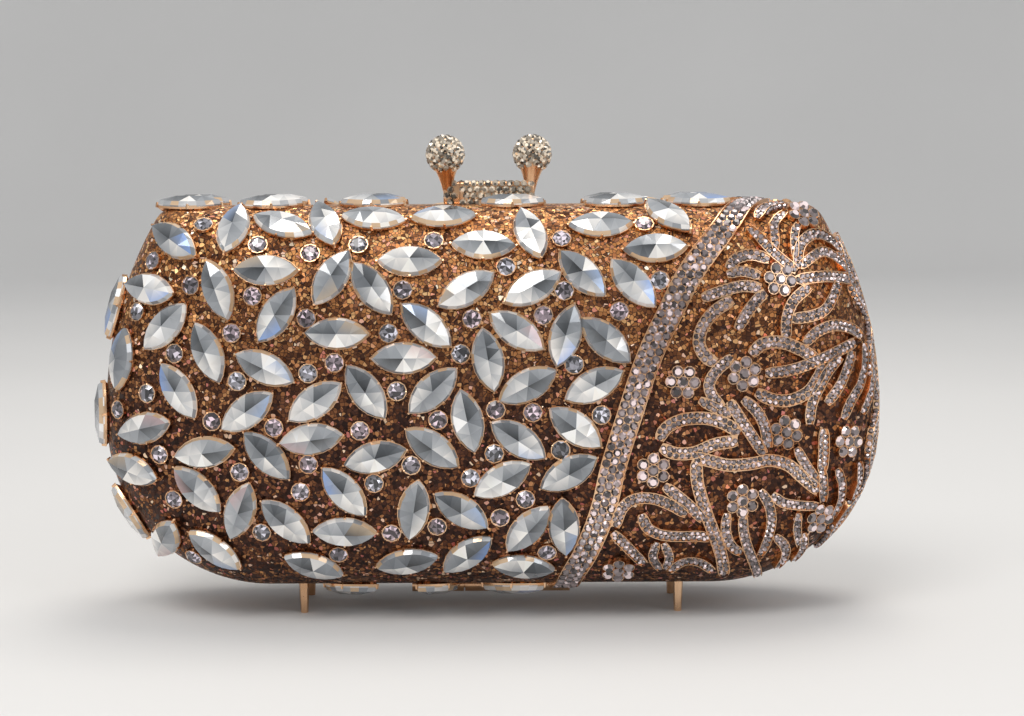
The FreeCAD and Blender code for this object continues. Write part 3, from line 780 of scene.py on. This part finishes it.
# band of three stone rows from the top edge down to the belly
band = {
    "width": 5.55 * mm, "rail": 0.18 * mm, "bed": 0.7 * mm, "railRise": 0.45 * mm, "sink": 0.4 * mm,
    "lean": 0.12 * mm, "step": 1.5 * mm, "gem": 0.96 * mm, "pitch": 1.86 * mm, "row": 1.64 * mm,
    "places": (
        (59.3, 3.4, 91.4), (54.6, 89.7), (50.0, 85.0), (43.2, 77.0), (38.0, 68.0), (33.4, 58.0),
        (29.8, 47.0), (26.4, 36.0), (24.1, 26.0), (20.8, 17.0), (17.6, 10.4), (15.5, 3.4, 6.0),
    ),
}
bandGem = paveStone(band["gem"])
for half in sides:
    body = half + "_half"
    line = routeOn(half, band["places"])
    bm = bmesh.new()
    seats = seatsAlong(half, line, band["step"])
    sweep(bm, seats, railProfile(band), [1.0] * len(seats))
    goldPiece(half + "BandBed", bm, body, [half + "_pave_band"])
    bm = bmesh.new()
    seats = seatsAlong(half, line, band["pitch"] / 2)
    rows = ((-band["row"], 1), (0, 2), (band["row"], 1))
    strew(bm, bandGem, gemRows(seats, band, rows), paintPave, random.Random(seeds["band"]))
    finished(half + "BandStones", bm, lilacFinish, body, None)
print("band laid")

# leaf ribs of the openwork end: share of the full width, then the places along each
rib = {
    "width": 2.55 * mm, "rail": 0.17 * mm, "bed": 0.95 * mm, "railRise": 0.4 * mm, "sink": 0.4 * mm,
    "lean": 0.1 * mm, "step": 1.0 * mm, "gem": 0.64 * mm, "pitch": 1.2 * mm, "row": 0.54 * mm,
    "taper": 4.4 * mm, "tipShare": 0.7, "wallGem": 0.5, "steep": 0.5,
}
ribs = (
    (1.0, (50.6, 77.4), (52.6, 79.4), (56.0, 80.2), (59.6, 79.2)),
    (0.9, (50.4, 76.2), (53.6, 76.9), (57.6, 75.8)),
    (1.0, (45.0, 71.4), (50.0, 73.0), (54.0, 73.8), (57.8, 73.2)),
    (1.1, (51.6, 71.0), (47.5, 68.4), (45.0, 65.0), (44.4, 61.6), (46.0, 58.8), (48.2, 57.6)),
    (1.0, (52.6, 64.6), (54.6, 68.0), (57.0, 71.0), (58.8, 72.4)),
    (1.0, (63.2, 62.2), (63.4, 67.0), (65.0, 70.6), (68.6, 73.4)),
    (1.0, (64.4, 66.6), (69.6, 67.2), (72.6, 69.0), (75.2, 74.2)),
    (1.0, (65.4, 74.8), (70.0, 75.2), (74.4, 75.0), (78.8, 73.8)),
    (1.0, (65.7, 77.2), (66.4, 82.0), (69.4, 84.2), (73.0, 83.2), (76.2, 80.2)),
    (0.9, (66.3, 77.6), (71.0, 80.4), (74.4, 79.2), (77.2, 76.4)),
    (0.9, (55.8, 85.4), (58.6, 82.6), (61.8, 79.6), (65.6, 76.6)),
    (0.9, (57.8, 87.4), (60.4, 89.6), (64.6, 90.2)),
    (0.8, (60.9, 81.4), (61.2, 86.0), (64.0, 88.4)),
    (0.8, (65.2, 79.6), (65.2, 84.4), (66.4, 86.4)),
    (1.1, (55.6, 59.2), (58.0, 61.4), (62.0, 61.7), (66.4, 60.0), (70.2, 57.6)),
    (1.0, (58.8, 55.2), (63.0, 55.5), (67.0, 56.4), (72.6, 58.4), (79.0, 61.0)),
    (1.0, (67.4, 61.2), (70.0, 63.6), (74.0, 64.8), (78.0, 63.8), (80.6, 61.8)),
    (1.1, (56.8, 51.2), (60.0, 49.6), (64.0, 49.2), (68.0, 50.8), (70.4, 54.0), (71.6, 56.8)),
    (1.0, (68.6, 43.8), (69.0, 48.0), (70.8, 52.0), (73.0, 55.6), (75.6, 58.2)),
    (1.0, (72.4, 48.2), (75.0, 51.4), (76.8, 55.0), (78.2, 59.2)),
    (1.0, (76.2, 44.6), (78.0, 48.4), (80.2, 52.0), (81.2, 56.4), (81.2, 60.4)),
    (1.0, (80.8, 45.4), (82.8, 50.0), (83.6, 55.0), (83.2, 60.0)),
    (1.0, (51.6, 58.8), (48.4, 56.2), (46.6, 53.2), (47.4, 50.4), (49.6, 48.0)),
    (1.1, (36.0, 41.2), (37.4, 43.8), (41.0, 45.6), (46.0, 45.8), (50.0, 44.6), (53.4, 42.4)),
    (1.1, (36.4, 39.8), (39.4, 38.4), (43.6, 38.5), (48.0, 40.2), (53.0, 40.8)),
    (0.9, (44.6, 49.8), (48.0, 48.0), (51.6, 46.6)),
    (1.0, (51.0, 49.4), (53.4, 45.6), (56.2, 41.4), (58.8, 37.6)),
    (1.0, (54.0, 49.8), (57.0, 47.0), (58.7, 43.6), (59.6, 39.0)),
    (1.1, (43.4, 37.6), (47.0, 36.6), (51.0, 35.6), (56.0, 35.8), (60.0, 36.4), (64.0, 35.2),
     (67.0, 32.6), (71.2, 28.9)),
    (0.9, (65.8, 38.8), (67.6, 35.6), (70.8, 30.8)),
    (1.1, (71.8, 42.6), (71.9, 38.0), (71.7, 33.2)),
    (0.9, (71.7, 33.6), (72.2, 28.8), (72.2, 26.4)),
    (0.9, (75.2, 33.6), (76.4, 30.0), (76.2, 26.0), (74.8, 22.8)),
    (0.9, (80.4, 34.6), (80.6, 30.0), (79.4, 26.0)),
    (1.1, (44.0, 36.8), (44.2, 32.6), (45.2, 28.6), (46.8, 24.0), (48.4, 20.0), (50.0, 15.6),
     (51.2, 10.6)),
    (1.0, (37.2, 31.4), (40.0, 29.2), (43.0, 26.6), (45.8, 23.6)),
    (1.0, (26.8, 22.4), (28.2, 26.6), (31.0, 28.6), (35.0, 28.6), (39.0, 27.0), (42.2, 25.0)),
    (1.0, (32.4, 25.2), (33.8, 22.2), (37.0, 20.6), (41.0, 20.2), (44.6, 20.2), (47.4, 19.6)),
    (1.0, (26.4, 21.2), (29.0, 18.6), (33.6, 13.8)),
    (0.8, (36.0, 18.8), (35.2, 15.6), (37.2, 12.4)),
    (0.8, (37.4, 18.6), (38.8, 15.4), (38.0, 12.4)),
    (0.9, (38.8, 12.0), (42.0, 14.4), (45.6, 14.0), (48.6, 11.8)),
    (0.9, (54.4, 24.6), (54.6, 21.0), (55.8, 17.0), (57.6, 13.0), (59.0, 9.6)),
    (0.9, (50.9, 25.0), (50.7, 21.2), (52.0, 17.8), (54.6, 15.8)),
    (0.9, (58.0, 29.8), (60.0, 26.6), (60.7, 22.6), (60.0, 18.6), (58.6, 15.0)),
    (0.9, (60.8, 28.8), (63.0, 27.0), (66.4, 26.2), (71.2, 25.7)),
    (0.9, (61.8, 19.4), (64.0, 17.0), (64.4, 14.4), (63.0, 11.4)),
    (0.8, (66.8, 24.2), (66.6, 20.6), (67.6, 16.6)),
    (0.9, (68.2, 19.4), (68.4, 16.0), (66.6, 12.8)),
    # from here on they run round the end
    (1.0, (76.3, 7.2, 84.0), (80.0, 5.3, 76.0), (82.8, 7.2, 67.5), (83.6, 4.8, 64.0)),
    (1.0, (82.8, 6.6, 66.5), (83.6, 4.8, 64.5), (85.2, 7.2, 56.0), (86.0, 4.8, 47.5)),
    (1.0, (85.8, 5.4, 50.0), (86.0, 7.2, 45.0), (85.7, 4.8, 38.0), (84.2, 7.2, 31.0)),
    (1.0, (84.4, 6.6, 32.5), (83.2, 4.8, 28.5), (79.1, 7.2, 21.0), (72.9, 5.3, 14.5)),
    (0.9, (76.6, 7.8, 83.0), (79.0, 12.0, 76.5), (81.2, 11.5, 71.0), (82.8, 7.8, 67.0)),
    (0.9, (83.8, 5.6, 63.0), (84.0, 11.0, 58.5), (84.6, 11.5, 52.5), (86.0, 5.8, 48.0)),
    (0.9, (86.0, 7.8, 44.5), (85.0, 11.5, 40.5), (84.4, 11.5, 35.5), (84.2, 7.8, 31.5)),
    (0.9, (83.0, 5.6, 28.0), (80.0, 11.5, 24.5), (76.4, 11.5, 19.5), (73.2, 6.2, 15.0)),
)
ribGem = paveStone(rib["gem"])


# a row on each wall of a rib
def wallRows(seats):
    height = rib["wallGem"] * (rib["bed"] + rib["railRise"])
    spots = []
    for way in (1, -1):
        wall = Matrix.Translation((0, way * rib["width"] / 2, height))
        spots += [seat @ wall @ Matrix.Rotation(-way * math.pi / 2, 4, "X") for seat in seats]
    return spots


for half in sides:
    body = half + "_half"
    dice = random.Random(seeds["ribs"])
    beds, gems = bmesh.new(), bmesh.new()
    for width, *places in ribs:
        line = routeOn(half, places)
        seats = seatsAlong(half, line, rib["step"])
        ends = [min(k, len(seats) - 1 - k) * rib["step"] / rib["taper"] for k in range(len(seats))]
        part = bmesh.new()
        widths = [width * min(1.0, rib["tipShare"] + end) for end in ends]
        sweep(part, seats, railProfile(rib), widths)
        joinInto(beds, part)
        seats = seatsAlong(half, line, rib["pitch"] / 2)
        row = rib["row"] * width
        spots = gemRows(seats[1:-1], rib, ((-row, 1), (row, 2)))
        spots += [seats[k] @ Matrix.Translation((0, 0, rib["bed"])) for k in (1, -2)]  # one at each tip
        showing = [seat for seat in seats[1:-1:2] if abs(seat[1][2]) < rib["steep"]]
        spots += wallRows(showing)
        strew(gems, ribGem, spots, paintPave, dice)
    goldPiece(half + "LeafRibs", beds, body, [half + "_leaf_loops"])
    finished(half + "LeafStones", gems, lilacFinish, body, None)
print("leaf ribs laid")

# flower clusters: one stone in the middle, six round it a little lower
flower = {
    "gem": {
        "radius": 1.27 * mm, "sides": 8, "low": 0.9 * mm, "girdle": 0.15 * mm, "crown": 0.65 * mm,
        "table": 0.58,
    },
    "cup": {"radius": 1.35 * mm, "sides": 10, "height": 1.1 * mm, "lip": (0.93, 0.93)},
    "ring": 2.55 * mm, "petals": 6, "drop": 0.15 * mm,
}
petalGem = asTemplate(roundStone(**flower["gem"]), "petalGem")
petalCup = asTemplate(roundCup(**flower["cup"]), "petalCup")
for half in sides:
    body = half + "_half"
    spots = seatsOf(half + "_flower_clusters")
    for seat in spots[:]:
        for step in range(flower["petals"]):
            turn = Matrix.Rotation(2 * math.pi * step / flower["petals"], 4, "Z")
            spots.append(seat @ turn @ Matrix.Translation((flower["ring"], 0, -flower["drop"])))
    bm = bmesh.new()
    strew(bm, petalCup, spots)
    goldPiece(half + "FlowerCups", bm, body, [half + "_flower_clusters"])
    bm = bmesh.new()
    strew(bm, petalGem, spots, paintPave, random.Random(seeds["flowers"]))
    finished(half + "FlowerStones", bm, lilacFinish, body, None)
print("flowers set")


# rim rings that meet at the parting, and the dust lip inside them
rimRing = {
    "gap": 0.15 * mm, "band": {"front": 3.5 * mm, "back": 2.3 * mm}, "edge": 0.3 * mm, "edgeCuts": 2,
    "sharp": 1.2, "lipInset": 2.6 * mm, "lipBand": 0.9 * mm, "lipReach": 1.6 * mm, "lipLow": 34.0 * mm,
}


def ring(bm, outer, inner, near, far):
    loops = rimLoop(bm, outer, near) + rimLoop(bm, inner, near)
    face = bmesh.ops.bridge_loops(bm, edges=loops)["faces"]
    grown = bmesh.ops.extrude_face_region(bm, geom=face)["geom"]
    bmesh.ops.translate(bm, vec=(0, far - near, 0), verts=vertsOf(grown))
    bmesh.ops.recalc_face_normals(bm, faces=bm.faces)


for half, side in sides.items():
    body = half + "_half"
    r = rimRing
    bm = bmesh.new()
    ring(bm, 0.0, r["band"][half], side * r["gap"], side * domeShape["rim"])
    edges = [e for e in bm.edges if e.calc_face_angle(0) > r["sharp"]]
    roundOff(bm, edges, r["edge"], r["edgeCuts"])
    if half == "front":
        lip = bmesh.new()
        ring(lip, r["lipInset"], r["lipInset"] + r["lipBand"], -domeShape["rim"], r["lipReach"])
        bmesh.ops.bisect_plane(
            lip, geom=lip.verts[:] + lip.edges[:] + lip.faces[:], plane_co=(0, 0, r["lipLow"]),
            plane_no=(0, 0, 1), clear_inner=True,
        )
        bmesh.ops.holes_fill(lip, edges=[e for e in lip.edges if e.is_boundary])
        bmesh.ops.recalc_face_normals(lip, faces=lip.faces)
        joinInto(bm, lip)
    goldPiece(half + "RimRing", bm, body, [half + "_rim_frame"])
print("rims made")


# kiss-lock clasp: a paved bar with a flared neck under a paved ball on each half
clasp = {
    "core": 3.95 * mm, "coreCuts": (28, 18), "gem": 0.86 * mm, "gems": 104, "seat": 3.62 * mm,
    "bare": 0.84, "root": 10.2 * mm, "nose": 6.6 * mm, "near": 0.15 * mm, "depth": 2.2 * mm,
    "height": 5.0 * mm, "bevel": 0.5 * mm, "bevelCuts": 3, "neckFoot": 0.95 * mm, "neckTop": 3.0 * mm,
    "neckSides": 20, "neckSteps": 5, "neckSink": 2.5 * mm, "rise": 2.5 * mm, "rowGem": 0.86 * mm,
    "rowPitch": 1.64 * mm, "rowEnd": 0.8 * mm, "rowDrop": 0.35 * mm, "rowGap": 1.42 * mm,
    "sunk": 0.2 * mm, "rows": 4,
}
ballGem = paveStone(clasp["gem"], "high")
barGem = paveStone(clasp["rowGem"], "high")


def turnedTo(way, spot):
    seat = way.to_track_quat("Z", "Y").to_matrix().to_4x4()
    seat.translation = spot
    return seat


# stones spread evenly over the ball, left off where the neck enters
def ballSeats(centre, lean):
    seats = []
    for k in range(clasp["gems"]):
        height = 1 - (2 * k + 1) / clasp["gems"]
        angle = k * math.pi * (3 - math.sqrt(5))  # golden angle
        reach = math.sqrt(1 - height * height)
        way = Vector((reach * math.cos(angle), reach * math.sin(angle), height))
        if way.dot(-lean) < clasp["bare"]:
            seats.append(turnedTo(way, centre + way * clasp["seat"]))
    return seats


def claspBar(bm, low, high):
    bmesh.ops.create_cube(bm, size=1.0)
    bmesh.ops.scale(bm, vec=high - low, verts=bm.verts)
    bmesh.ops.translate(bm, vec=(low + high) / 2, verts=bm.verts)
    roundOff(bm, bm.edges[:], clasp["bevel"], clasp["bevelCuts"])


def claspNeck(foot, centre):
    neck = bmesh.new()
    bmesh.ops.create_circle(neck, segments=clasp["neckSides"], radius=clasp["neckFoot"], cap_ends=True)
    loop = neck.edges[:]
    reach = (centre - foot).length - clasp["neckSink"]
    flare = (clasp["neckTop"] / clasp["neckFoot"]) ** (1 / clasp["neckSteps"])
    for step in range(clasp["neckSteps"]):
        loop = raiseLoop(neck, loop, (flare, flare), reach / clasp["neckSteps"])
    bmesh.ops.contextual_create(neck, geom=loop)
    bmesh.ops.recalc_face_normals(neck, faces=neck.faces)
    neck.transform(turnedTo(centre - foot, foot))
    return neck


# rows along the top edge of the bar and down its face; past the other bar's nose the inner
# face shows too
def barSeats(low, high, side, end):
    inner, outer = (low.y, high.y) if side > 0 else (high.y, low.y)
    span = high.x - low.x - 2 * clasp["rowEnd"]
    count = round(2 * span / clasp["rowPitch"])
    seats = []
    for k in range(count + 1):
        x = end * (clasp["root"] - clasp["rowEnd"] - span * k / count)
        bare = end * x > clasp["nose"] + clasp["rowGem"]
        for face, way in ((outer, side), (inner, -side))[:2 if bare else 1]:
            ahead = Vector((0, way, 0))
            for row in range(k % 2, clasp["rows"], 2):  # rows stand half a pitch apart
                if row:
                    drop = high.z - clasp["rowDrop"] - row * clasp["rowGap"]
                    seats.append(turnedTo(ahead, Vector((x, face - way * clasp["sunk"], drop))))
                else:  # on the bevel, half up
                    spot = Vector((x, face - way * clasp["bevel"], high.z - clasp["bevel"]))
                    seats.append(turnedTo(ahead + Vector((0, 0, 1)), spot))
    return seats


for half, side in sides.items():
    body = half + "_half"
    dice = random.Random(seeds["clasp"])
    ballLow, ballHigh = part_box(half + "_clasp_ball")
    centre = (ballLow + ballHigh) / 2
    end = math.copysign(1, centre.x)
    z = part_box(half + "_clasp_arm")[0].z
    near, far = side * clasp["near"], side * (clasp["near"] + clasp["depth"])
    root, nose = end * clasp["root"], -end * clasp["nose"]
    low = Vector((min(root, nose), min(near, far), z))
    high = Vector((max(root, nose), max(near, far), z + clasp["height"]))
    foot = Vector((end * (clasp["root"] - clasp["neckFoot"]), (near + far) / 2, z + clasp["rise"]))
    bm = bmesh.new()
    columns, rings = clasp["coreCuts"]
    bmesh.ops.create_uvsphere(
        bm, u_segments=columns, v_segments=rings, radius=clasp["core"],
        matrix=Matrix.Translation(centre),
    )
    goldPiece(half + "BallCore", bm, body, [half + "_clasp_ball"], crease["ball"])
    bm = bmesh.new()
    strew(bm, ballGem, ballSeats(centre, (centre - foot).normalized()), paintBall, dice)
    finished(half + "BallStones", bm, clearFinish, body, None)
    bm = bmesh.new()
    claspBar(bm, low, high)
    joinInto(bm, claspNeck(foot, centre))
    goldPiece(half + "ClaspArm", bm, body, [half + "_clasp_arm"])
    bm = bmesh.new()
    strew(bm, barGem, barSeats(low, high, side, end), paintBall, dice)
    finished(half + "BarStones", bm, clearFinish, body, None)
print("clasp made")

# camera, floor and light
view = {
    "target": Vector((0, 0, 47.0 * mm)), "distance": 450.0 * mm, "elevation": 7.0, "roll": 0.3,
    "lens": 69.8, "shift": (22 / 1024, 41 / 1024), "clipStart": 0.01,
}
cameraData = bpy.data.cameras.new("camera")
cameraData.lens = view["lens"]
cameraData.shift_x, cameraData.shift_y = view["shift"]
cameraData.clip_start = view["clipStart"]
camera = bpy.data.objects.new("camera", cameraData)
tilt = math.radians(view["elevation"])
away = Vector((0, -math.cos(tilt), math.sin(tilt)))
camera.location = view["target"] + away * view["distance"]
camera.rotation_euler = away.to_track_quat("Z", "Y").to_euler()
camera.rotation_euler.rotate_axis("Z", -math.radians(view["roll"]))
scene.collection.objects.link(camera)
scene.camera = camera

# name, place, size, power, colour
lamps = (
    ("key", (-0.25, -0.55, 0.85), 0.5, 4.2, (1.0, 0.97, 0.93)),
    ("fill", (0.85, -0.73, 0.52), 0.6, 2.4, (0.95, 0.97, 1.0)),
    ("top", (0.1, 0.2, 0.9), 0.4, 2.8, (1.0, 0.94, 0.86)),
)
for name, place, size, power, colour in lamps:
    lampData = bpy.data.lights.new(name, "AREA")
    lampData.size = size
    lampData.energy = power
    lampData.color = colour
    lamp = bpy.data.objects.new(name, lampData)
    lamp.location = place
    lamp.rotation_euler = (lamp.location - view["target"]).to_track_quat("Z", "Y").to_euler()
    scene.collection.objects.link(lamp)

studio = {"colour": (1.0, 1.0, 1.0, 1.0), "strength": 0.64}
world = bpy.data.worlds.new("studio")
world.use_nodes = True
world.node_tree.nodes["Background"].inputs["Color"].default_value = studio["colour"]
world.node_tree.nodes["Background"].inputs["Strength"].default_value = studio["strength"]
scene.world = world

# round floor that bends up into a wall all about
backdrop = {
    "floor": 1.3, "bend": 0.6, "wall": 0.5, "bendSteps": 12, "turnSteps": 96, "noise": (3.0, 2.0),
    "tones": ((0.3, (0.70, 0.70, 0.70)), (0.7, (0.73, 0.73, 0.73))), "roughness": 0.7,
}
bm = bmesh.new()
edge = bm.edges.new([bm.verts.new((x, 0, 0)) for x in (0, backdrop["floor"])])
spun = bmesh.ops.spin(
    bm, geom=[edge.verts[1]], cent=(backdrop["floor"], 0, backdrop["bend"]), axis=(0, -1, 0),
    angle=math.pi / 2, steps=backdrop["bendSteps"],
)
top = bmesh.ops.extrude_vert_indiv(bm, verts=vertsOf(spun["geom_last"]))
bmesh.ops.translate(bm, vec=(0, 0, backdrop["wall"]), verts=top["verts"])
bmesh.ops.spin(
    bm, geom=bm.verts[:] + bm.edges[:], cent=(0, 0, 0), axis=(0, 0, 1), angle=2 * math.pi,
    steps=backdrop["turnSteps"], use_merge=True,
)
bmesh.ops.remove_doubles(bm, verts=bm.verts, dist=mergeGap)
bmesh.ops.recalc_face_normals(bm, faces=bm.faces)
mesh = bpy.data.meshes.new("backdrop")
bm.to_mesh(mesh)
bm.free()
mesh.shade_smooth()
paper = Finish("paleBackdrop", {"Roughness": backdrop["roughness"]})
paper.feed(Base_Color=paper.ramp(paper.noise(*backdrop["noise"]), backdrop["tones"]))
mesh.materials.append(paper.material)
floor = bpy.data.objects.new("backdrop", mesh)
scene.collection.objects.link(floor)
print("stage set")

# metal pieces that stay as they come from the frame
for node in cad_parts.values():
    for slot in node.material_slots:
        slot.material = goldFinish
